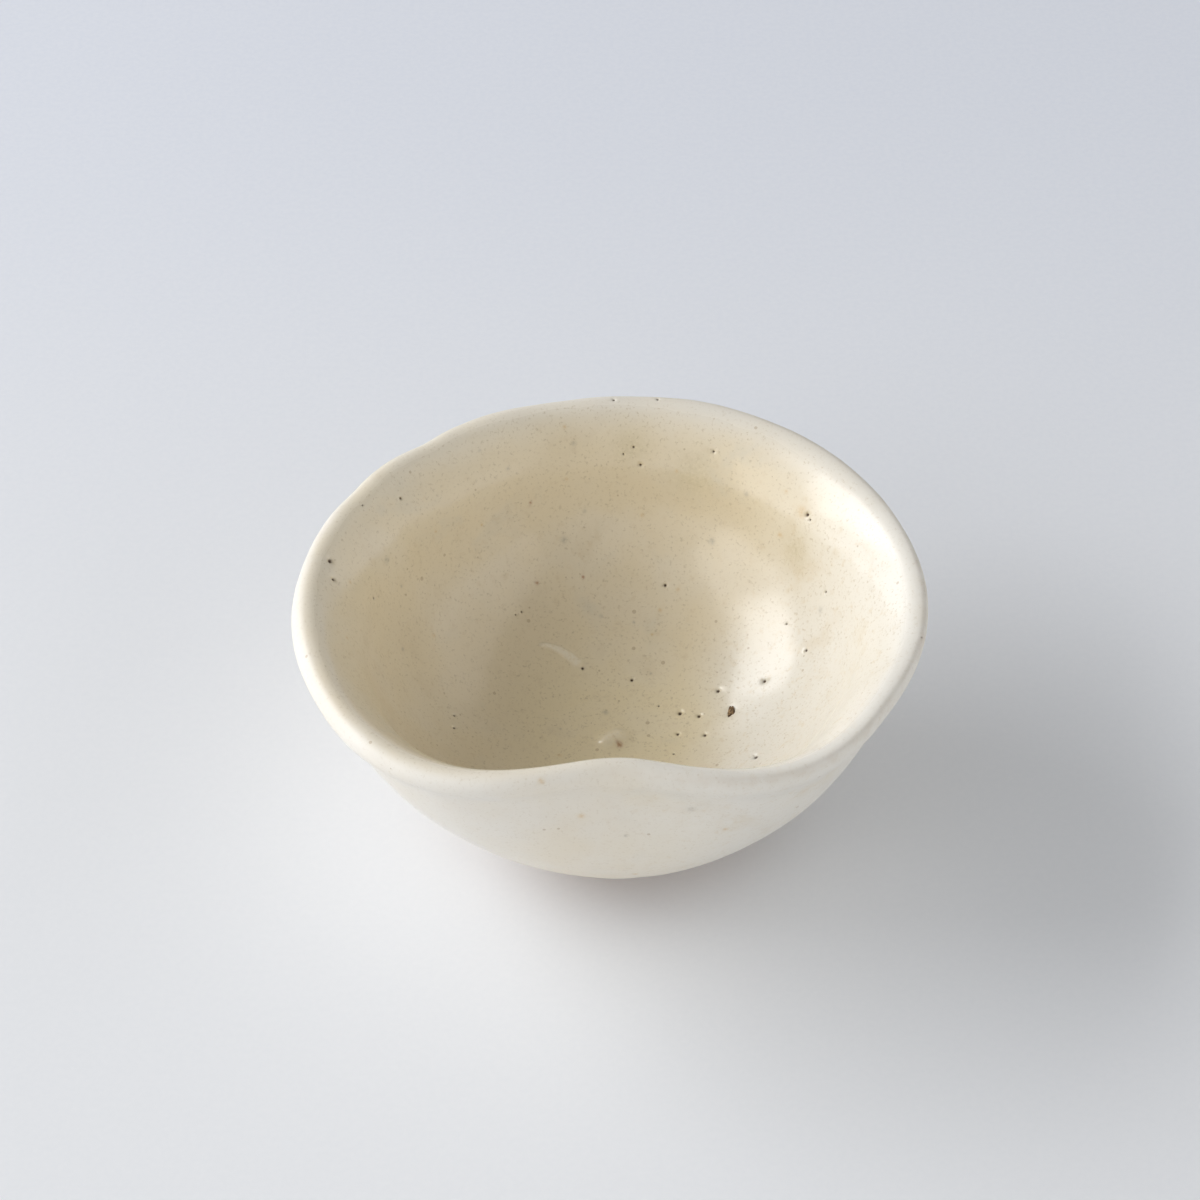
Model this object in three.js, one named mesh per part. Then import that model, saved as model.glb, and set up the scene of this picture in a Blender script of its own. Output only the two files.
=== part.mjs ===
// A hand-formed sake cup: a thrown stoneware bowl on a luted foot ring, with a coat of glaze inside and out.
// Millimetres, +Z up. The cup stands on z = 0, and the origin is under the middle of its outline.
import * as THREE from 'three';

// Bowl as it left the wheel, glaze included
const RIM_RADIUS = 38; // widest part of the lip
const RIM_HEIGHT = 34.3; // table to the crest of the lip
const LIP_THICKNESS = 4; // across the rounded lip
const LIP_ROUND = 2.2; // crest of the lip above its widest part
const LIP_FLARE = 1.9; // how far the lip turns out past the wall
const LIP_ROLL = 40; // degrees that the lip goes on rolling past its crest, down into the bowl
const NECK_DROP = 5; // crest of the lip down to the neck under it
const WALL = 5.4; // across the wall under the lip, if neither side of it turned out
const FLOOR = 4.8; // floor over the foot
const BELLY_FULLNESS = 1.5; // exponent of the outside: 1 is a straight cone, 2 a quarter ellipse
const BOWL_FULLNESS = 2.1; // exponent of the inside

// Foot ring
const FOOT_RADIUS = 14.2; // where it joins the bowl
const FOOT_HEIGHT = 3.6;
const FOOT_WALL = 4.4;
const FOOT_DRAFT = 0.6; // how far both sides lean in from the bowl to the table
const FOOT_BEVEL = 0.7; // worn edges where it stands

// Glaze
const GLAZE = 0.5; // thickness of each coat
const GLAZE_LINE = 6.6; // table to the lower edge of the outer coat

// What the maker's fingers did to the rim. Angles in degrees from +X, turning towards +Y
const OVAL = { out: 1, at: 24 }; // the mouth is a little longer along this direction
const LEAN = { up: 1.2, at: 144 }; // the rim is highest on this side
const FINGER_MARKS = [
  { at: -90, spread: 21.6, out: -7.3, up: 3.3 }, // front of the rim pushed in and up
  { at: -26, spread: 10.3, out: -0.8, up: 0 }, // slight flat beside it
  { at: 167, spread: 24, out: 0.75, up: 0 }, // slight bulge on the left
];

// Facets
const TURN_STEPS = 60;
const WALL_STEPS = 12;
const LIP_STEPS = 4; // on each half of the lip

const LIP_WIDEST = RIM_HEIGHT - LIP_ROUND; // height of the lip's widest part
const LIP_MIDDLE = RIM_RADIUS - LIP_THICKNESS / 2; // radius of the lip's crest

const smooth = (value) => THREE.MathUtils.smoothstep(value, 0, 1);
const point = (radius, height) => new THREE.Vector2(radius, height);

// A quarter of a superellipse: 0 at the bottom, 1 at the top of the wall
const swell = (share, fullness) => (1 - (1 - share) ** fullness) ** (1 / fullness);

// Steps from 0 to 1, closer together near 0, where the wall turns most
const wallShares = Array.from({ length: WALL_STEPS + 1 }, (_, i) => (i / WALL_STEPS) ** 1.5);

function outsidePoint(share) {
  const bottom = FOOT_HEIGHT - GLAZE;
  const height = THREE.MathUtils.lerp(bottom, LIP_WIDEST, share);
  const wall = THREE.MathUtils.lerp(FOOT_RADIUS, RIM_RADIUS - LIP_FLARE, swell(share, BELLY_FULLNESS));
  const flare = LIP_FLARE * smooth((height - RIM_HEIGHT + NECK_DROP) / (NECK_DROP - LIP_ROUND));
  return point(wall + flare, height);
}

// The lip at an angle: 0 is its outer side, 90 the crest, and more than that its inner side
function lipPoint(degrees) {
  const angle = THREE.MathUtils.degToRad(degrees);
  return point(LIP_MIDDLE + LIP_THICKNESS / 2 * Math.cos(angle), LIP_WIDEST + LIP_ROUND * Math.sin(angle));
}

function lipPoints(from, to) {
  return Array.from({ length: LIP_STEPS + 1 }, (_, i) => lipPoint(THREE.MathUtils.lerp(from, to, i / LIP_STEPS)));
}

// Under the lip the inside turns out in a curve that meets the lip's roll at the same slope
const innerWallRadius = RIM_RADIUS - LIP_FLARE - WALL;
const lipEnd = lipPoint(90 + LIP_ROLL);
const lipEndSlope = LIP_THICKNESS / 2 / LIP_ROUND / Math.tan(THREE.MathUtils.degToRad(LIP_ROLL));
const innerFlare = lipEnd.x - innerWallRadius;
const innerFlareDrop = 2 * innerFlare / lipEndSlope;

function insidePoint(share) {
  const height = THREE.MathUtils.lerp(FOOT_HEIGHT + FLOOR, lipEnd.y, share);
  const turnOut = Math.max(0, 1 - (lipEnd.y - height) / innerFlareDrop) ** 2;
  return point(innerWallRadius * swell(share, BOWL_FULLNESS) + innerFlare * turnOut, height);
}

// The share of the outside wall whose height is the glaze line
const glazeLineShare = (GLAZE_LINE - FOOT_HEIGHT + GLAZE) / (LIP_WIDEST - FOOT_HEIGHT + GLAZE);

// Visible surfaces of the glazed bowl: foot to crest outside, and crest to the middle of the floor inside
const bareShares = wallShares.filter((share) => share < glazeLineShare);
const glazedShares = [glazeLineShare, ...wallShares.filter((share) => share > glazeLineShare)];
const bareOutside = bareShares.map(outsidePoint);
const glazedOutside = [...glazedShares.map(outsidePoint), ...lipPoints(0, 90).slice(1)];
const glazedInside = [...lipPoints(90, 90 + LIP_ROLL), ...wallShares.toReversed().slice(1).map(insidePoint)];
const visible = [...bareOutside, ...glazedOutside, ...glazedInside.slice(1)];

// The clay lies one coat of glaze under the visible surface
const clay = visible.map((here, i) => {
  const before = visible[Math.max(i - 1, 0)];
  const after = visible[Math.min(i + 1, visible.length - 1)];
  const along = after.clone().sub(before).normalize();
  if (i === 0 || i === visible.length - 1) along.set(Math.sign(along.x), 0);
  return point(here.x - GLAZE * along.y, here.y + GLAZE * along.x);
});
const crest = bareOutside.length + glazedOutside.length - 1;
const clayUnderOuterGlaze = clay.slice(bareOutside.length, crest + 1);
const clayUnderInnerGlaze = clay.slice(crest);

// How far the rim moves out and up at an angle round the cup
function rimMove(angle) {
  const move = {
    out: OVAL.out * Math.cos(2 * (angle - THREE.MathUtils.degToRad(OVAL.at))),
    up: LEAN.up * Math.cos(angle - THREE.MathUtils.degToRad(LEAN.at)),
  };
  for (const mark of FINGER_MARKS) {
    const turn = angle - THREE.MathUtils.degToRad(mark.at);
    const away = Math.atan2(Math.sin(turn), Math.cos(turn)) / THREE.MathUtils.degToRad(mark.spread);
    const strength = Math.exp(-away * away / 2);
    move.out += mark.out * strength;
    move.up += mark.up * strength;
  }
  return move;
}

// Moves the points of a turned piece as the maker's fingers did. The lip moves as one, the marks die away
// down the wall, and the foot and the axis stay where they are
function shapeByHand(geometry) {
  const places = geometry.getAttribute('position');
  const place = new THREE.Vector3();
  for (let i = 0; i < places.count; i += 1) {
    place.fromBufferAttribute(places, i);
    const radius = Math.hypot(place.x, place.y);
    const share = smooth((place.z - FOOT_HEIGHT) / (LIP_WIDEST - FOOT_HEIGHT)) / RIM_RADIUS;
    const move = rimMove(Math.atan2(place.y, place.x));
    const stretch = 1 + share * move.out;
    places.setXYZ(i, place.x * stretch, place.y * stretch, place.z + share * radius * move.up);
  }
}

// Swaps two corners of each triangle, so that a profile turned the other way round faces outwards
function turnFacesOver(geometry) {
  const corners = geometry.getIndex();
  for (let i = 0; i < corners.count; i += 3) {
    const second = corners.getX(i + 1);
    corners.setX(i + 1, corners.getX(i + 2));
    corners.setX(i + 2, second);
  }
}

function turnedPiece(name, profile, material, { facesOver = false } = {}) {
  const geometry = new THREE.LatheGeometry(profile, TURN_STEPS);
  geometry.rotateX(Math.PI / 2);
  shapeByHand(geometry);
  if (facesOver) turnFacesOver(geometry);
  geometry.computeVertexNormals();
  const mesh = new THREE.Mesh(geometry, material);
  mesh.name = name;
  return mesh;
}

const bareClay = new THREE.MeshStandardMaterial({ color: '#a98a6a', roughness: 0.9, metalness: 0 });
const footClay = new THREE.MeshStandardMaterial({ color: '#9c7d5e', roughness: 0.9, metalness: 0 });
const innerCream = new THREE.MeshStandardMaterial({ color: '#e2d8c0', roughness: 0.32, metalness: 0 });
const outerCream = new THREE.MeshStandardMaterial({ color: '#e0dbcd', roughness: 0.36, metalness: 0 });

const clayBowl = turnedPiece('clay_bowl', [point(0, FOOT_HEIGHT), ...clay], bareClay);

// A glaze coat follows the clay in the clay's own order, so that the two share every facet
const innerGlaze = turnedPiece(
  'inner_glaze',
  [...glazedInside.toReversed(), ...clayUnderInnerGlaze],
  innerCream,
  { facesOver: true },
);
const outerGlaze = turnedPiece(
  'outer_glaze',
  [...clayUnderOuterGlaze, ...glazedOutside.toReversed(), clayUnderOuterGlaze[0]],
  outerCream,
  { facesOver: true },
);

const footInside = FOOT_RADIUS - FOOT_WALL;
const footRing = turnedPiece(
  'foot_ring',
  [
    point(footInside, FOOT_HEIGHT),
    point(footInside - FOOT_DRAFT, FOOT_BEVEL),
    point(footInside - FOOT_DRAFT + FOOT_BEVEL, 0),
    point(FOOT_RADIUS - FOOT_DRAFT - FOOT_BEVEL, 0),
    point(FOOT_RADIUS - FOOT_DRAFT, FOOT_BEVEL),
    point(FOOT_RADIUS, FOOT_HEIGHT),
    point(footInside, FOOT_HEIGHT),
  ],
  footClay,
);

const cup = new THREE.Group();
cup.add(clayBowl, footRing, innerGlaze, outerGlaze);

// The fingers moved the mouth off the wheel's axis, so the cup is set over the middle of its outline
const middle = new THREE.Box3().setFromObject(cup).getCenter(new THREE.Vector3());
cup.position.set(-middle.x, -middle.y, 0);

export default cup;
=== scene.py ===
"""Dresses a hand-formed sake cup: satin cream glaze with pinholes, iron specks and clouding, on stoneware.

The visible surface follows the same driving sizes as the solids. The cup's lengths are millimetres until
a mesh is made, the stage's are metres, and angles are degrees from +X, turning towards +Y. A reach is a
length along the cup's outline, from the middle of the floor, over the lip and down the outside.
"""
import functools

import bpy
import numpy as np
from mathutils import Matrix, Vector


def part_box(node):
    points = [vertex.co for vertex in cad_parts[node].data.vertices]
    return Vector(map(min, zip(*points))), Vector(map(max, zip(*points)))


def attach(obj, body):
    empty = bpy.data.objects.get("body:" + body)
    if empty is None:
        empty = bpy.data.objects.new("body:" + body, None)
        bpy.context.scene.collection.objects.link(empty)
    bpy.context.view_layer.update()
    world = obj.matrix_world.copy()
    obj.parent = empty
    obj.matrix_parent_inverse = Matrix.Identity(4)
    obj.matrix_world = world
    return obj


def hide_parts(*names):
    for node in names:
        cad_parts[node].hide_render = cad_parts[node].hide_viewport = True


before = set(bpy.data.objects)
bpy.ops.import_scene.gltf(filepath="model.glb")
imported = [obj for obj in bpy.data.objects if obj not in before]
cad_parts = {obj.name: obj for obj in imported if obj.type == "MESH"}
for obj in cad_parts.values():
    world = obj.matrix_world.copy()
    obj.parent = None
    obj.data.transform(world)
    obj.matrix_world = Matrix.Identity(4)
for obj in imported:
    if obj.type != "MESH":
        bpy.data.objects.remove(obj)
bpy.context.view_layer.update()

MM = 0.001

# Foot and axis, from the frame
foot_low, foot_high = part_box("foot_ring")
AXIS = np.array([(foot_low.x + foot_high.x) / 2, (foot_low.y + foot_high.y) / 2, foot_low.z])
FOOT_RADIUS = (foot_high.x - foot_low.x) / 2 / MM
FOOT_HEIGHT = (foot_high.z - foot_low.z) / MM

# Foot ring
FOOT_WALL = 4.4
FOOT_DRAFT = 0.6  # how far both sides lean in from the bowl to the table
FOOT_BEVEL = 0.7  # worn edges where it stands
FOOT_SEAM_ROUND = 0.1  # edges against the bowl
FOOT_UNEVEN_FROM = 1.0  # below the bowl its sides grow uneven over this height
FOOT_EVEN_UP_TO = 0.6  # above the table they do so over this height

# Recess and turning marks under the bowl, and turning marks on the bare wall
RECESS_DEPTH = 0.25
RECESS_EDGE = 1.0
NUB_DROP, NUB_WIDTH = 0.7, 1.6  # stub left in the middle of the recess
SPIRAL_HEIGHT, SPIRAL_PITCH = 0.07, 1.5
GROOVE_HEIGHT, GROOVE_PITCH = 0.035, 1.25
GROOVE_FADE = 1.5  # length over which the grooves begin, above the foot

# Bowl as it left the wheel, glaze included
RIM_RADIUS = 38.0  # widest part of the lip
RIM_HEIGHT = 34.3  # table to the crest of the lip
LIP_THICKNESS = 4.0  # across the rounded lip
LIP_ROUND = 2.2  # crest of the lip above its widest part
LIP_FLARE = 1.9  # how far the lip turns out past the wall
LIP_FLARE_FADE = 2.6  # how far under the lip's widest part the flare dies away
LIP_ROLL = 40.0  # degrees that the lip goes on rolling past its crest, down into the bowl
LIP_WIDEST = RIM_HEIGHT - LIP_ROUND  # height of the lip's widest part
LIP_MIDDLE = RIM_RADIUS - LIP_THICKNESS / 2  # radius of the lip's crest
NECK_DROP = 5.0  # crest of the lip down to the neck under it
NECK_WIDTH, NECK_DEPTH = 2.3, 0.3  # groove at the neck
WALL = 5.4  # across the wall under the lip, if neither side of it turned out
FLOOR = 4.8  # floor over the foot
BELLY_FULLNESS = 1.5  # exponent of the outside: 1 is a straight cone, 2 a quarter ellipse
BOWL_FULLNESS = 2.1  # exponent of the inside

# Glaze
GLAZE = 0.5  # thickness of the coat
GLAZE_LINE = 6.6  # table to the lower edge of the coat
CLAY_GAP = 0.04  # how far the clay keeps under the coat
DEEPEST = 0.45  # how far a pit or groove may go into the coat

# Lower edge of the glaze: height, count and start of each wave round the cup, and the bead along the edge
EDGE_WAVES = [(0.55, 2, 40.0), (0.35, 5, 100.0), (0.18, 13, 10.0)]
EDGE_FADE = 12.0  # how far up the coat the waves die away
EDGE_ROUND = 0.7
BEAD_SWELL, BEAD_AT, BEAD_WIDTH = 0.35, 0.8, 0.7

# What the maker's fingers did to the rim: angle, spread, how far out, how far up
OVAL_OUT, OVAL_AT = 1.0, 24.0
LEAN_UP, LEAN_AT = 1.2, 144.0
PINCH_AT = -90.0
FINGER_MARKS = [
    (PINCH_AT, 21.6, -7.3, 3.3),
    (-26.0, 10.3, -0.8, 0.0),
    (167.0, 24.0, 0.75, 0.0),
]
PINCH_SMOOTHED = 20.0  # degrees either side of the pinch where the neck's groove is smoothed away

# Two nicks in the rim and its slight dip at the right back, in the same order
RIM_NICKS = [
    (150.5, 3.0, -0.18, -0.08),
    (132.0, 3.2, -0.28, -0.14),
    (42.0, 36.0, 0.0, -0.95),
]

# Sides of the cup: angle of the middle, cosine at the edge, and how much more it takes to be full
SHOULDER_SIDE = (5.0, -0.1, 0.8)
# Worn line on the right lip, partly painted shade of the lip's outer side there
THIN_AND_SHADED_SIDE = (-5.0, -0.2, 1.0)
# Painted light: the window-lit right wall is painted paler
LIT_PALE_SIDE = (-22.0, 0.1, 0.8)
# Painted light: the window-lit front-left outside is painted whiter
LIT_FRONT_LEFT_SIDE = (205.0, 0.2, 0.8)

# Square shoulder of the lip: exponents of a round corner and of its own, rise of its outer edge, and how
# far down the outside the rise dies away
ROUND_POWER, SHOULDER_POWER = 2.0, 4.4
SHOULDER_RISE, SHOULDER_FADE = 1.0, 2.5

# Regions of the glaze, some of which paint light and shade
OUTER_START, OUTER_RAMP = -1.0, 4.0  # from where the inside meets the lip
# The crest's band also paints the lip's top whiter as painted light, less on the window-lit left
CREST_WIDTH, LIT_LEFT_CREST_LOSS = 3.0, 0.6  # either side of the crest, and how much less of it shows on the left
# The worn line is partly painted shade of the lip's outer side, on the right
THIN_AT, THIN_WIDTH = 2.0, 0.7  # worn line past the crest
# Painted light: the paler colour of the lit right wall grows up from the floor
PALE_START, PALE_RAMP = 5.0, 12.0
# Glaze pooled on the floor, its deeper, yellower colour partly painted shade
POOL_EDGE, POOL_RAMP = 20.0, 14.0
# Painted light: the whiter front-left outside begins past the crest
LIT_FRONT_LEFT_RAMP = 2.0  # past the crest

# Unevenness: height, shortest and longest wave, and seed of the random draws
BODY_WAVES = (0.06, 14.0, 40.0, 3)
LIP_WAVES = (0.04, 8.0, 20.0, 5)
PEEL_WAVES = (0.006, 2.5, 5.0, 8)
CLAY_WAVES = (0.05, 3.0, 9.0, 21)
FOOT_WAVES = (0.08, 4.0, 12.0, 31)
FOOT_GRIT = (0.03, 1.2, 3.0, 32)
GRAIN_LUMPS = (0.16, 0.6, 1.6, 41)

# Pinholes in the glaze: pixels right and down in the frame where the camera sees them, and width
PINHOLES = [
    (680, 712, 0.55), (699, 715, 0.48), (678, 733, 0.42), (705, 734, 0.45), (718, 690, 0.48),
    (764, 680, 0.5), (756, 756, 0.55), (665, 585, 0.45), (583, 668, 0.42), (632, 679, 0.45),
    (805, 649, 0.42), (825, 591, 0.32), (807, 514, 0.48), (810, 519, 0.28), (640, 465, 0.38),
    (633, 447, 0.32), (623, 454, 0.25), (713, 451, 0.32), (522, 612, 0.28), (516, 615, 0.25),
    (374, 599, 0.3), (400, 499, 0.34), (334, 580, 0.42), (331, 561, 0.62), (362, 506, 0.25),
    (455, 728, 0.32), (455, 716, 0.28), (674, 753, 0.28), (659, 705, 0.25), (786, 623, 0.25),
    (613, 399, 0.35), (657, 398, 0.38),
]

# A pinhole's pit, the dish round it and its iron stain: depths in widths, and reaches in half widths
PIT_DEPTH, PIT_REACH = 0.3, 0.8
DISH_DEPTH, DISH_REACH = 0.5, 1.5
IRON_REACH = 0.9

# Iron grain: half sizes along the bowl's rise, across and out of the glaze, and the dish that it lies in
GRAIN_PIXEL, GRAIN_WIDTH = (731, 711), 1.5
GRAIN_SIZE = np.array([0.95, 0.5, 0.34])
GRAIN_SUNK = 0.16
GRAIN_DISH_DEPTH, GRAIN_DISH_REACH = 0.12, 1.2

# Stains under the glaze: pixel and width of each, by colour
IRON, OCHRE, GREY, RED, OLIVE, WHITE = "iron", "ochre", "grey", "red", "olive", "white"
STAINS = {
    OCHRE: [
        (564, 427, 0.5), (566, 479, 0.4), (481, 525, 0.4), (435, 532, 0.4), (434, 636, 0.5),
        (786, 491, 0.5), (780, 534, 0.7), (676, 471, 0.4), (678, 589, 0.5), (660, 610, 0.5),
        (652, 634, 0.4), (560, 756, 0.5), (726, 828, 0.6), (582, 816, 0.8), (636, 874, 0.7),
        (542, 782, 0.8), (802, 511, 1.5), (350, 583, 0.5), (347, 639, 0.4), (642, 515, 0.5),
    ],
    RED: [(537, 583, 0.5), (620, 746, 0.8), (530, 503, 0.4), (583, 577, 0.4)],
    GREY: [
        (479, 451, 0.4), (507, 469, 0.5), (573, 443, 0.7), (584, 511, 0.5), (386, 561, 0.9),
        (401, 587, 0.4), (712, 541, 0.9), (820, 609, 0.7), (746, 493, 0.7), (606, 712, 0.8),
        (601, 616, 0.5), (627, 836, 0.6), (692, 809, 0.9), (561, 729, 0.3), (564, 540, 0.9),
        (403, 650, 0.5), (634, 622, 0.4), (651, 673, 0.35),
    ],
    OLIVE: [(692, 474, 6.0), (796, 550, 4.5), (630, 447, 4.5)],
}

# Pale arc of glaze left by a tool: its width, the shares of that at its start and gained by its end, and
# the share of its length that tapers at both ends
TOOL_ARC = [(538, 645), (549, 646), (560, 650), (572, 658), (581, 666)]
ARC_WIDTH, ARC_RISE = 1.2, 0.22
ARC_START, ARC_GAIN, ARC_TAPER = 0.45, 0.75, 0.25

# Lump in the middle of the floor, of pale glaze, its whiteness partly a painted highlight for its glint
LUMP = [(609, 742), (618, 737)]
LUMP_WIDTH, LUMP_RISE, LUMP_WHITE_AND_GLINT = 2.4, 1.05, 0.8

# Hairline across the outside of the lip
HAIRLINE = [(922, 636), (926, 640)]
HAIRLINE_WIDTH, HAIRLINE_STRENGTH = 0.13, 0.8

# Colours of the stains, with the share of each that shows, in the order in which they are laid
STAIN_COLOURS = {
    # White is the tool's pale smear, and on the lump also a painted highlight
    WHITE: (0.9, (0.88, 0.80, 0.64, 1.0)),
    OLIVE: (0.4, (0.55, 0.46, 0.26, 1.0)),
    OCHRE: (0.55, (0.62, 0.40, 0.13, 1.0)),
    GREY: (0.45, (0.33, 0.29, 0.22, 1.0)),
    RED: (0.85, (0.36, 0.15, 0.06, 1.0)),
}

# Outline: steps in each stretch and how much they crowd where the wall turns most, then the length of its
# even steps and the length over which it is softened
OUTLINE_STEPS = 900
INSIDE_CROWDING, OUTSIDE_CROWDING = 2.2, 1.6
PROFILE_STEP = 0.05
PROFILE_SOFTNESS = 0.6

# Mesh of the glaze: columns round the cup, length of a row, splits of a cell at a mark, and rows underneath
COLUMNS = 384
ROW_STEP = 0.62
FINE = 6
UNDER_ROWS = 36

# How far round a mark cells are split: a share of its width and a margin. Wide stains need no split cells
PIT_SHARE, PIT_MARGIN = 0.8, 0.35
STAIN_SHARE, STAIN_MARGIN = 0.7, 0.25
WIDE_STAIN = 1.0
ARC_MARGIN = 0.8 * ARC_WIDTH
HAIRLINE_MARGIN = 0.5

# Meshes of the clay, the foot and the grain
CLAY_COLUMNS = 240
LAND_ROWS, LAND_START, LAND_MARGIN = 40, 0.4, 0.3  # from near the axis to inside the foot's edge
BARE_ROWS, HIDDEN_ROWS = 46, 70
BARE_OVERLAP = 3.0  # how far the closer rows of the bare clay go on under the glaze
BARE_RAMP = 1.0  # length over which the clay leaves its gap under the coat
FOOT_ROWS = 60
GRAIN_RINGS, GRAIN_TURNS = 20, 36

# Camera at the photograph's place. The frame shows the axis's point at AIM_HEIGHT at AIM_PIXEL
CAMERA_RISE = 47.15
CAMERA_DISTANCE = 460.0
AIM_HEIGHT = 20.0
FRAME_PIXELS = 1200
PIXELS_PER_MM = 8.0
AIM_PIXEL = (613.74, 679.26)
SENSOR = 36.0

# First search for the glaze at a pixel: start, steps, pixels round it, and depth that one pixel is worth
LOOK_START, LOOK_REACH_STEP, LOOK_TURN_STEP = 0.3, 0.4, 0.8
LOOK_PIXELS, LOOK_PIXEL_DEPTH = 5.0, 0.3

# Stage, in metres: half the table's side, and how far from the cup it begins to fade and is gone
TABLE_REACH = 1.3
TABLE_FADE, TABLE_GONE = 0.28, 1.0
# The back's tone is painted shade, bluer and darker where the light falls off
TABLE_FRONT, TABLE_BACK = -0.02, 0.16  # where the table's tone turns from the front's to the back's

# Lamps: azimuth, elevation, distance, size, energy and colour
DAYLIGHT, INDOORS = (1.0, 1.0, 1.0), (1.0, 0.985, 0.96)
LAMPS = {
    "window": (166.0, 35.0, 1.2, (0.95, 0.48), 6.2, DAYLIGHT),
    "window_wall": (177.0, 26.0, 1.6, (3.2, 1.4), 23.6, DAYLIGHT),
    "card": (-8.0, 24.0, 1.3, (2.4, 1.1), 7.8, INDOORS),
    "room": (-115.0, 30.0, 1.6, (2.0, 1.2), 4.3, INDOORS),
}


def smooth(value):
    """0 up to 0, 1 from 1, and eased between."""
    value = np.clip(value, 0.0, 1.0)
    return value * value * (3.0 - 2.0 * value)


def rising(value, start, length):
    """0 up to start, easing to 1 over a length."""
    return smooth((value - start) / length)


def fading(distance, width, power=2):
    """1 at no distance, dying away past a width, more sharply for a higher even power."""
    return np.exp(-((distance / width) ** power))


def facing(angle, middle, edge, ramp):
    """1 on the side of the cup round the middle's angle, easing to 0 where its cosine falls to edge."""
    return rising(np.cos(np.radians(angle - middle)), edge, ramp)


def turn_from(angle, middle):
    """Degrees from middle to angle, the short way round."""
    return (angle - middle + 180.0) % 360.0 - 180.0


def full_turn(columns):
    """Angles of this many columns round the cup."""
    return np.arange(columns) * 360.0 / columns


def around_axis(radius, turn, height):
    """Points at a radius, turned by radians round the axis."""
    return np.stack([radius * np.cos(turn), radius * np.sin(turn), height], -1)


def lengths_along(points):
    """How far along a line of points each of them lies."""
    return np.concatenate([[0.0], np.cumsum(np.linalg.norm(np.diff(points, axis=0), axis=1))])


def swell(share, fullness):
    """A quarter of a superellipse: 0 at the bottom, 1 at the top of the wall."""
    return (1.0 - (1.0 - share) ** fullness) ** (1.0 / fullness)


def lip(angle):
    """The lip at an angle in radians: 0 is its outer side, a quarter turn its crest, more its inner side."""
    radius = LIP_MIDDLE + LIP_THICKNESS / 2 * np.cos(angle)
    return np.stack([radius, LIP_WIDEST + LIP_ROUND * np.sin(angle)], -1)


def inside(share):
    """The bowl, turning out under the lip in a curve that meets the lip's roll at the same slope."""
    end_radius, end_height = lip(np.radians(90.0 + LIP_ROLL))
    end_slope = LIP_THICKNESS / 2 / LIP_ROUND / np.tan(np.radians(LIP_ROLL))
    wall = RIM_RADIUS - LIP_FLARE - WALL
    flare = end_radius - wall
    height = FOOT_HEIGHT + FLOOR + share * (end_height - FOOT_HEIGHT - FLOOR)
    turn_out = np.maximum(1.0 - (end_height - height) * end_slope / (2 * flare), 0.0) ** 2
    return np.stack([wall * swell(share, BOWL_FULLNESS) + flare * turn_out, height], -1)


def outside(share):
    """The outside from the foot to the lip's widest part."""
    bottom = FOOT_HEIGHT - GLAZE
    height = bottom + share * (LIP_WIDEST - bottom)
    wall = FOOT_RADIUS + swell(share, BELLY_FULLNESS) * (RIM_RADIUS - LIP_FLARE - FOOT_RADIUS)
    return np.stack([wall + LIP_FLARE * fading(LIP_WIDEST - height, LIP_FLARE_FADE), height], -1)


def softened(values, spread, mirror):
    """Evenly spaced values averaged over a spread of steps.

    The first end goes on as its mirror image, times mirror, and the last goes straight on.
    """
    reach = np.arange(-4 * spread, 4 * spread + 1)
    weights = np.exp(-((reach / spread) ** 2) / 2)
    before = mirror * values[4 * spread:0:-1]
    after = 2 * values[-1] - values[-2:-4 * spread - 2:-1]
    return np.convolve(np.concatenate([before, values, after]), weights / weights.sum(), "valid")


class Profile:
    """The visible surface's outline from the middle of the floor, over the lip and down the outside."""

    def __init__(self):
        steps = np.linspace(0.0, 1.0, OUTLINE_STEPS)
        back = 1 - steps[1:]
        roll = np.radians(90.0 + LIP_ROLL)
        bowl, belly = inside(steps**INSIDE_CROWDING), outside(back**OUTSIDE_CROWDING)
        sharp = np.concatenate([bowl, lip(roll * back), belly])
        along = lengths_along(sharp)
        self.lip_reach = along[OUTLINE_STEPS - 1]
        self.end_reach = along[-1]
        self.reach = np.arange(0.0, self.end_reach, PROFILE_STEP)
        spread = round(PROFILE_SOFTNESS / PROFILE_STEP)
        self.radius = softened(np.interp(self.reach, along, sharp[:, 0]), spread, -1)
        self.height = softened(np.interp(self.reach, along, sharp[:, 1]), spread, 1)
        self.crest_reach = self.reach[np.argmax(self.height)]
        self.neck_reach = self.outside_reach(RIM_HEIGHT - NECK_DROP)
        self.glaze_reach = self.outside_reach(GLAZE_LINE)

    def at(self, reach):
        """Radius and height at a reach."""
        return np.interp(reach, self.reach, self.radius), np.interp(reach, self.reach, self.height)

    def outside_reach(self, height):
        """The reach at a height on the outside."""
        down = self.reach > self.crest_reach
        return np.interp(-height, -self.height[down], self.reach[down])


PROFILE = Profile()


def rim_move(angle):
    """How far the rim moves out and up at an angle round the cup."""
    out = OVAL_OUT * np.cos(2 * np.radians(angle - OVAL_AT))
    up = LEAN_UP * np.cos(np.radians(angle - LEAN_AT))
    for at, spread, mark_out, mark_up in FINGER_MARKS + RIM_NICKS:
        strength = np.exp(-((turn_from(angle, at) / spread) ** 2) / 2)
        out = out + mark_out * strength
        up = up + mark_up * strength
    return out, up


def shaped(radius, height, angle):
    """A point of the turned cup after the maker's fingers moved it."""
    share = rising(height, FOOT_HEIGHT, LIP_WIDEST - FOOT_HEIGHT) * radius / RIM_RADIUS
    out, up = rim_move(angle)
    return around_axis(radius + share * out, np.radians(angle), height + share * up)


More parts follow.
